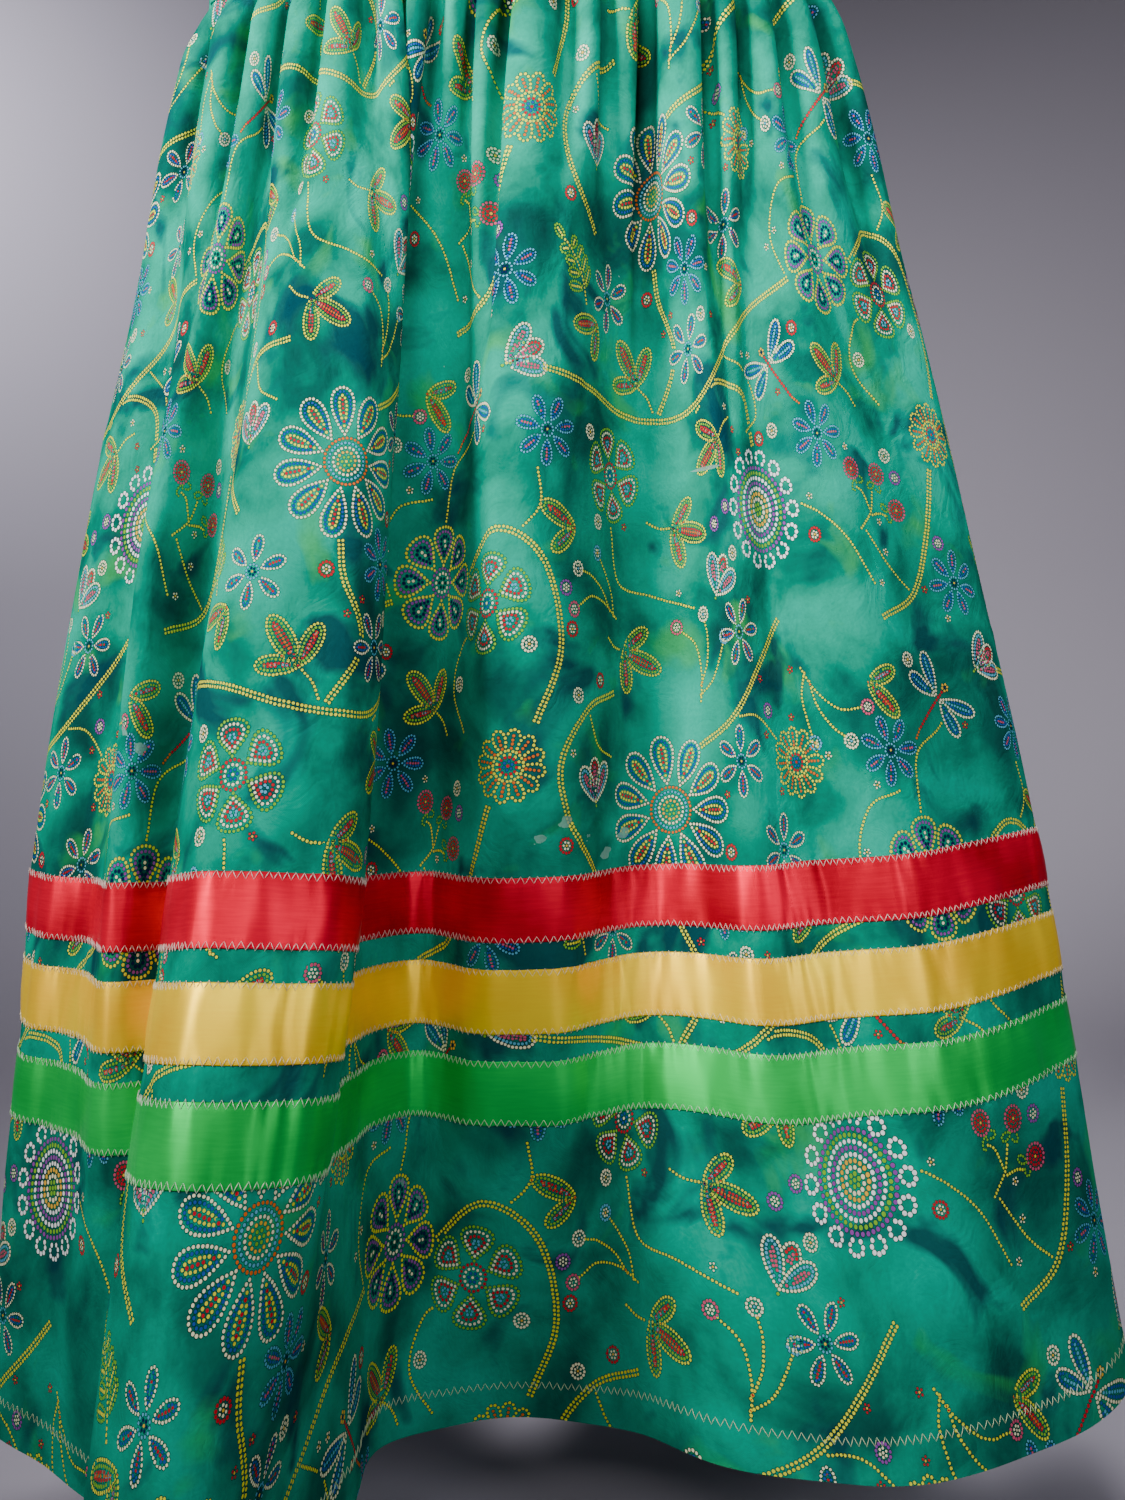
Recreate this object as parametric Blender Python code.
"""Ribbon skirt: two gathered panels, an elastic waistband and three ribbons sewn round above the hem.

Metres, +Z up. The origin is the middle of the waistband, the front faces -Y, and +X is on the right
of someone who looks at the front. The skirt is filled out and hollow, open at the waist and the hem.

A ring of threads runs down from the waist seam to the hem. A thread's place round the skirt is its
cut position: 0 at the left side seam, PANEL_WIDTH at the right one, and on round the back. Its place
down the skirt is its drop, measured along the cloth. The form says where each thread is in plan at
each drop, and the height follows from the thread keeping its length.
"""

import math

import bpy
import numpy as np

# Cut sizes
PANEL_WIDTH = 1.29            # one panel from side seam to side seam, before it is gathered
SKIRT_LENGTH = 0.910          # along the cloth from the waist seam to the hem edge
BAND_HEIGHT = 0.038           # elastic casing
RIBBON_WIDTH = 0.0381         # 1 1/2 inch satin ribbon
RIBBON_GAP = 0.0159           # cloth that shows between two ribbons
LOWEST_RIBBON_UP = 0.176      # from the hem edge up to the green ribbon's lower edge

# Thicknesses
PANEL_WALL = 0.0015
RIBBON_WALL = 0.0010
BAND_WALL = 0.0030
SEAM_GAP = 0.0003

# The waist line, and the ellipses that the back folds stand out from, as half width and half depth
WAIST_HALF = (0.207, 0.070)
MIDDLE_HALF = (0.312, 0.100)
HEM_HALF = (0.352, 0.175)
MIDDLE_DROP = 0.420

# Gathers
GATHERS_PER_PANEL = 18
SEAM_GATHER_HEIGHT = 0.0045   # half height of a gather where it is sewn to the band
BAND_GATHER_HEIGHT = 0.0025   # and on the band
GATHER_OPENS_AT = 0.045       # drop at which the gathers have opened fully
GATHER_FADES_FROM = 0.060     # drop at which they start to run out into the folds
GATHER_GONE_AT = 0.400        # drop at which they have gone
EVENING_REACH = 0.060         # cloth on each side that a thread is evened out with
LEAST_FALL = 0.3              # a thread always falls by at least this share of its length

# Mesh
COLUMNS_PER_PANEL = 72
THREAD_STEPS = 91             # steps along a thread for its height
ELLIPSE_STEPS = 1440          # chords that an ellipse's length is measured with
TANGENT_REACH = 0.0001        # cloth on each side of a point that its direction is read from

# Where the front's threads lie: cut position, share of the front's waist line, and places in plan at
# MIDDLE_DROP and at the hem, in metres.
FRONT_THREADS = [
    # cut    waist   middle x  middle y  hem x    hem y
    (0.000,   0.000,  -0.315,   0.004,  -0.349,  -0.004),   # left side seam
    (0.090,   0.060,  -0.288,  -0.067,  -0.349,  -0.108),
    (0.160,   0.106,  -0.250,  -0.081,  -0.295,  -0.153),   # hollow left of the big fold
    (0.215,   0.141,  -0.231,  -0.122,  -0.254,  -0.190),
    (0.270,   0.175,  -0.204,  -0.100,  -0.213,  -0.223),
    (0.335,   0.214,  -0.185,  -0.135,  -0.221,  -0.285),   # big fold, its left flank
    (0.410,   0.261,  -0.153,  -0.170,  -0.182,  -0.339),
    (0.475,   0.303,  -0.101,  -0.157,  -0.149,  -0.331),   # its front
    (0.535,   0.343,  -0.091,  -0.124,  -0.137,  -0.283),   # its right flank
    (0.610,   0.400,  -0.105,  -0.087,  -0.116,  -0.211),
    (0.680,   0.464,  -0.059,  -0.055,  -0.108,  -0.141),   # hollow right of the big fold
    (0.735,   0.520,  -0.033,  -0.100,  -0.064,  -0.109),
    (0.790,   0.584,   0.015,  -0.099,  -0.010,  -0.110),
    (0.850,   0.648,   0.045,  -0.054,   0.039,  -0.141),
    (0.905,   0.703,   0.087,  -0.054,   0.077,  -0.183),
    (0.955,   0.748,   0.114,  -0.083,   0.127,  -0.197),   # broad fold on the right
    (1.020,   0.800,   0.148,  -0.072,   0.181,  -0.207),
    (1.075,   0.841,   0.189,  -0.080,   0.233,  -0.185),
    (1.130,   0.882,   0.230,  -0.059,   0.278,  -0.164),
    (1.180,   0.919,   0.274,  -0.036,   0.322,  -0.115),
    (1.225,   0.952,   0.292,  -0.026,   0.329,  -0.061),
]

# The back's folds from the right side seam to the left one: share of the cut, half depth at
# MIDDLE_DROP and at the hem.
BACK_FOLDS = [
    # share  middle   hem
    (0.15,   0.022,   0.030),
    (0.19,   0.030,   0.052),
    (0.17,   0.026,   0.040),
    (0.21,   0.032,   0.056),
    (0.14,   0.024,   0.034),
    (0.14,   0.020,   0.028),
]
POINTS_PER_BACK_FOLD = 4

# Colours (linear RGB), roughness
PRINT_GROUND = ((0.010, 0.270, 0.180), 0.55)
RIBBON_RED = ((0.520, 0.008, 0.030), 0.32)
RIBBON_GOLD = ((0.800, 0.480, 0.110), 0.34)
RIBBON_GREEN = ((0.020, 0.320, 0.050), 0.34)

RING_WIDTH = 2.0 * PANEL_WIDTH
RIBBON_PITCH = RIBBON_WIDTH + RIBBON_GAP


def smooth_step(value, start, end):
    """0 before start, 1 after end, and a smooth rise between."""
    share = np.clip((value - start) / (end - start), 0.0, 1.0)
    return share * share * (3.0 - 2.0 * share)


def ellipse(half, cut):
    """Points round an ellipse, evenly spread by arc length, for cut positions round the ring."""
    angle = np.linspace(0.0, 2.0 * math.pi, ELLIPSE_STEPS + 1)
    x = -half[0] * np.cos(angle)
    y = -half[1] * np.sin(angle)
    run = np.concatenate([[0.0], np.cumsum(np.hypot(np.diff(x), np.diff(y)))])
    place = (np.asarray(cut) % RING_WIDTH) / RING_WIDTH * run[-1]
    return np.stack([np.interp(place, run, x), np.interp(place, run, y)], axis=-1)


def ring_spline(knots, values, cut):
    """Closed cubic spline through values at knots round the ring, read at the cut positions."""
    count = len(knots)
    step = np.diff(np.append(knots, knots[0] + RING_WIDTH))
    slopes = (np.roll(values, -1, axis=0) - values) / step[:, None]
    matrix = np.zeros((count, count))
    for i in range(count):
        before = step[i - 1]
        matrix[i, i - 1] += before
        matrix[i, i] += 2.0 * (before + step[i])
        matrix[i, (i + 1) % count] += step[i]
    bend = np.linalg.solve(matrix, 6.0 * (slopes - np.roll(slopes, 1, axis=0)))
    cut = np.asarray(cut) % RING_WIDTH
    i = np.clip(np.searchsorted(knots, cut, side="right") - 1, 0, count - 1)
    after = (i + 1) % count
    width = step[i][..., None]
    t = cut[..., None] - knots[i][..., None]
    rise = slopes[i] - width * (2.0 * bend[i] + bend[after]) / 6.0
    return values[i] + t * (rise + t * (bend[i] / 2.0 + t * (bend[after] - bend[i]) / (6.0 * width)))


def outward(plan):
    """Unit normals of plan curves that run round the ring along axis 1, pointing out of the skirt."""
    along = np.roll(plan, -1, axis=1) - np.roll(plan, 1, axis=1)
    normal = np.stack([along[..., 1], -along[..., 0]], axis=-1)
    return normal / np.linalg.norm(normal, axis=-1, keepdims=True)


def back_threads():
    """Rows like FRONT_THREADS for the back, where folds stand evenly out from two ellipses."""
    rows = []
    start = PANEL_WIDTH
    for share, middle_depth, hem_depth in BACK_FOLDS:
        for k in range(POINTS_PER_BACK_FOLD):
            part = k / POINTS_PER_BACK_FOLD
            cut = start + part * share * PANEL_WIDTH
            row = [cut, cut / PANEL_WIDTH]
            for half, depth in ((MIDDLE_HALF, middle_depth), (HEM_HALF, hem_depth)):
                before, place, after = ellipse(half, [cut - TANGENT_REACH, cut, cut + TANGENT_REACH])
                along = (after - before) / np.linalg.norm(after - before)
                lift = -depth * math.cos(2.0 * math.pi * part)
                row.extend(place + lift * np.array([along[1], -along[0]]))
            rows.append(row)
        start += share * PANEL_WIDTH
    return rows


def waist_cut(cut):
    """Cut positions moved to where the uneven gathering brings them on an evenly gathered waist."""
    table = np.array(FRONT_THREADS + back_threads())
    knots = table[:, 0]
    shift = table[:, 1] * PANEL_WIDTH - knots
    return cut + ring_spline(knots, shift[:, None], cut)[..., 0]


def folds_in_plan(cut, drop):
    """Places in plan without the gathers, for drops (axis 0) and cut positions (axis 1)."""
    table = np.array(FRONT_THREADS + back_threads())
    knots = table[:, 0]
    waist = ellipse(WAIST_HALF, waist_cut(cut))
    middle = ring_spline(knots, table[:, 2:4], cut)
    hem = ring_spline(knots, table[:, 4:6], cut)
    s = drop[:, None, None]
    at_waist = (s - MIDDLE_DROP) * (s - SKIRT_LENGTH) / (MIDDLE_DROP * SKIRT_LENGTH)
    at_middle = s * (s - SKIRT_LENGTH) / (MIDDLE_DROP * (MIDDLE_DROP - SKIRT_LENGTH))
    at_hem = s * (s - MIDDLE_DROP) / (SKIRT_LENGTH * (SKIRT_LENGTH - MIDDLE_DROP))
    return at_waist * waist + at_middle * middle + at_hem * hem


def gather_wave(cut):
    """Uneven wave round the ring, one turn for each gather."""
    turn = 2.0 * math.pi * waist_cut(cut) / RING_WIDTH
    phase = 2 * GATHERS_PER_PANEL * turn + 1.1 * np.sin(5.0 * turn + 0.6) + 0.7 * np.sin(11.0 * turn)
    size = 0.85 + 0.25 * np.sin(7.0 * turn + 2.0) + 0.20 * np.sin(13.0 * turn)
    return np.cos(phase), size


def gather_height(plan, drop, cut):
    """Half height of the gathers: what the cloth needs to keep its width, where it is still gathered."""
    step = np.linalg.norm(np.roll(plan, -1, axis=1) - np.roll(plan, 1, axis=1), axis=-1)
    cut_step = np.roll(cut, -1) - np.roll(cut, 1)
    cut_step = np.where(cut_step < 0.0, cut_step + RING_WIDTH, cut_step)
    taken = np.clip(step / cut_step, 0.0, 1.0)
    full = RING_WIDTH / (2 * GATHERS_PER_PANEL) / (2.0 * math.pi) * np.sqrt(2.0 * (1.0 - taken ** 2))
    opened = smooth_step(drop, 0.0, GATHER_OPENS_AT)[:, None]
    left = 1.0 - smooth_step(drop, GATHER_FADES_FROM, GATHER_GONE_AT)[:, None]
    return (SEAM_GATHER_HEIGHT * (1.0 - opened) + full * opened) * left


def evened(values):
    """Values evened out round the ring (axis 1), as neighbouring threads hold each other."""
    columns = values.shape[1]
    reach = max(1, round(EVENING_REACH / RING_WIDTH * columns))
    offsets = range(-reach, reach + 1)
    weights = [math.cos(0.5 * math.pi * k / (reach + 1)) ** 2 for k in offsets]
    total = sum(weight * np.roll(values, k, axis=1) for k, weight in zip(offsets, weights))
    return total / sum(weights)


def skirt_form(cut, drops):
    """Mid surface of the cloth at the drops (axis 0) and cut positions (axis 1), and its unit normals."""
    fine = np.linspace(0.0, SKIRT_LENGTH, THREAD_STEPS)
    fine = np.unique(np.concatenate([fine, drops]))
    plan = folds_in_plan(cut, fine)
    step = np.diff(fine)[:, None]
    across = np.linalg.norm(np.diff(plan, axis=0), axis=-1)
    down = np.sqrt(np.maximum(step ** 2 - across ** 2, (LEAST_FALL * step) ** 2))
    height = -np.concatenate([np.zeros((1, len(cut))), np.cumsum(down, axis=0)])
    height = evened(height) - BAND_HEIGHT / 2.0 - SEAM_GAP
    wave, size = gather_wave(cut)
    lift = gather_height(plan, fine, cut) * wave * size
    plan = plan + outward(evened(plan)) * lift[..., None]
    points = np.concatenate([plan, height[..., None]], axis=-1)
    points = points[np.searchsorted(fine, drops)]
    return points, surface_normals(points)


def round_way(points):
    """Unit directions round a grid that is closed along axis 1.

    Each lies halfway between the two stretches that meet there, so a wall isn't skewed at a tight fold.
    """
    after = np.roll(points, -1, axis=1) - points
    after = after / np.linalg.norm(after, axis=-1, keepdims=True)
    both = after + np.roll(after, 1, axis=1)
    return both / np.linalg.norm(both, axis=-1, keepdims=True)


def surface_normals(points):
    """Unit normals of a grid that is closed along axis 1, pointing out of the skirt.

    The top row's lie level, so that the wall's top edge stays level under the waistband.
    """
    down_way = np.gradient(points, axis=0)
    normal = np.cross(down_way, round_way(points))
    normal[0, :, 2] = 0.0
    return normal / np.linalg.norm(normal, axis=-1, keepdims=True)


def ribbon_drops():
    """Upper and lower edge of each ribbon as drops, from the top ribbon down."""
    lowest = SKIRT_LENGTH - LOWEST_RIBBON_UP
    edges = []
    for k in (2, 1, 0):
        lower = lowest - k * RIBBON_PITCH
        edges.append((lower - RIBBON_WIDTH, lower))
    return edges


def panel_drops():
    """Rows of the panels: close under the gathers, and on every ribbon edge."""
    upper = [0.0, 0.018, 0.045, 0.070, 0.095, 0.130, 0.165, 0.255, 0.365, 0.480]
    lower = [0.820, SKIRT_LENGTH]
    ribbons = [drop for edges in ribbon_drops() for drop in edges]
    return np.array(upper + ribbons + lower)


def new_object(name, vertices, faces, look):
    colour, roughness = look
    mesh = bpy.data.meshes.new(name)
    mesh.from_pydata([tuple(v) for v in vertices], [], faces)
    mesh.validate()
    material = bpy.data.materials.new(name)
    material.use_nodes = True
    shader = material.node_tree.nodes["Principled BSDF"]
    shader.inputs["Base Color"].default_value = (*colour, 1.0)
    shader.inputs["Roughness"].default_value = roughness
    shader.inputs["Metallic"].default_value = 0.0
    mesh.materials.append(material)
    mesh.shade_smooth()
    thing = bpy.data.objects.new(name, mesh)
    bpy.context.scene.collection.objects.link(thing)
    return thing


def wall(name, outer, inner, closed, look):
    """A closed wall between two grids of the same shape. A closed one runs right round the skirt."""
    rows, columns = outer.shape[:2]
    vertices = np.concatenate([outer.reshape(-1, 3), inner.reshape(-1, 3)])
    inside = rows * columns
    faces = []

    def at(row, column, side):
        return side * inside + row * columns + column % columns

    spans = columns if closed else columns - 1
    for row in range(rows - 1):
        for column in range(spans):
            a, b = at(row, column, 0), at(row, column + 1, 0)
            c, d = at(row + 1, column + 1, 0), at(row + 1, column, 0)
            faces.append((a, d, c, b))
            faces.append((a + inside, b + inside, c + inside, d + inside))
    for column in range(spans):
        a, b = at(0, column, 0), at(0, column + 1, 0)
        faces.append((a, b, b + inside, a + inside))
        a, b = at(rows - 1, column, 0), at(rows - 1, column + 1, 0)
        faces.append((b, a, a + inside, b + inside))
    if not closed:
        for row in range(rows - 1):
            a, b = at(row, 0, 0), at(row + 1, 0, 0)
            faces.append((b, a, a + inside, b + inside))
            a, b = at(row, columns - 1, 0), at(row + 1, columns - 1, 0)
            faces.append((a, b, b + inside, a + inside))
    return new_object(name, vertices, faces, look)


def panel(name, points, normals, first, look):
    """One panel: its columns of the ring, pulled back by half the seam gap at both side seams."""
    columns = [(first + k) % points.shape[1] for k in range(COLUMNS_PER_PANEL + 1)]
    middle = points[:, columns].copy()
    normal = normals[:, columns]
    along = round_way(points)[:, columns]
    middle[:, 0] += along[:, 0] * SEAM_GAP / 2.0
    middle[:, -1] -= along[:, -1] * SEAM_GAP / 2.0
    half = PANEL_WALL / 2.0
    return wall(name, middle + normal * half, middle - normal * half, False, look)


def ribbon(name, points, normals, rows, look):
    """A ribbon all round: the panels' own points on its two edges, moved out."""
    foot = PANEL_WALL / 2.0 + SEAM_GAP
    on = points[rows]
    normal = normals[rows]
    return wall(name, on + normal * (foot + RIBBON_WALL), on + normal * foot, True, look)


def waistband(cut, look):
    """The elastic casing: the waist line, rippled by the elastic, and straight up."""
    line = ellipse(WAIST_HALF, waist_cut(cut))[None]
    wave, size = gather_wave(cut)
    heights = (BAND_HEIGHT / 2.0, 0.0, -BAND_HEIGHT / 2.0)
    ripples = (BAND_GATHER_HEIGHT, BAND_GATHER_HEIGHT, SEAM_GATHER_HEIGHT)
    out = outward(line)
    levels = []
    for height, ripple in zip(heights, ripples):
        plan = (line + out * (ripple * wave * size)[None, :, None])[0]
        levels.append(np.column_stack([plan, np.full(len(cut), height)]))
    middle = np.array(levels)
    normal = outward(middle[..., :2])
    normal = np.concatenate([normal, np.zeros(normal.shape[:2] + (1,))], axis=-1)
    half = BAND_WALL / 2.0
    return wall("waistband", middle + normal * half, middle - normal * half, True, look)


def build():
    for thing in list(bpy.data.objects):
        bpy.data.objects.remove(thing, do_unlink=True)
    cut = np.arange(2 * COLUMNS_PER_PANEL) * PANEL_WIDTH / COLUMNS_PER_PANEL
    drops = panel_drops()
    points, normals = skirt_form(cut, drops)
    panel("panel_front", points, normals, 0, PRINT_GROUND)
    panel("panel_back", points, normals, COLUMNS_PER_PANEL, PRINT_GROUND)
    names = ("ribbon_red", "ribbon_gold", "ribbon_green")
    looks = (RIBBON_RED, RIBBON_GOLD, RIBBON_GREEN)
    for name, look, edges in zip(names, looks, ribbon_drops()):
        rows = [int(np.searchsorted(drops, edge - 1e-9)) for edge in edges]
        ribbon(name, points, normals, rows, look)
    waistband(cut, PRINT_GROUND)


build()
